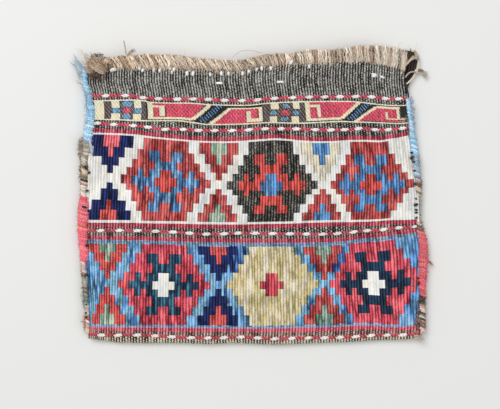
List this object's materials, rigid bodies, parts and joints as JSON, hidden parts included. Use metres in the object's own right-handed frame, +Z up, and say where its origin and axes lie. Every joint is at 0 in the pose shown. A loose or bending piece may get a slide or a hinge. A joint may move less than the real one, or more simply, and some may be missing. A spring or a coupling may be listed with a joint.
{
  "type": "flat-woven vanity bag",
  "caption": "Flat-woven wool pouch with an open mouth, a folded bottom and side seams whipped with coloured yarn; holds small flat things.",
  "frame": {"origin": "under the middle of the pouch, on the surface that its back panel lies on", "axes": "+Z up out of the patterned front, +Y towards the mouth, +X towards the pouch's right side as the front is seen"},
  "size_m": [0.2534, 0.2173, 0.0103],
  "materials": {
    "patterned_wool": "matte",
    "blue_yarn": "matte",
    "brown_yarn": "matte",
    "red_yarn": "matte",
    "tan_cord": "matte"
  },
  "bodies": {
    "root": {"bag_cloth": "patterned_wool", "left_binding_blue": "blue_yarn", "left_binding_brown": "brown_yarn", "left_binding_red": "red_yarn", "left_binding_brown_low": "brown_yarn", "right_binding_blue": "blue_yarn", "right_binding_brown": "brown_yarn", "right_binding_red": "red_yarn", "right_binding_brown_low": "brown_yarn", "right_binding_red_low": "red_yarn", "corner_cord": "tan_cord"}
  },
  "joints": []
}
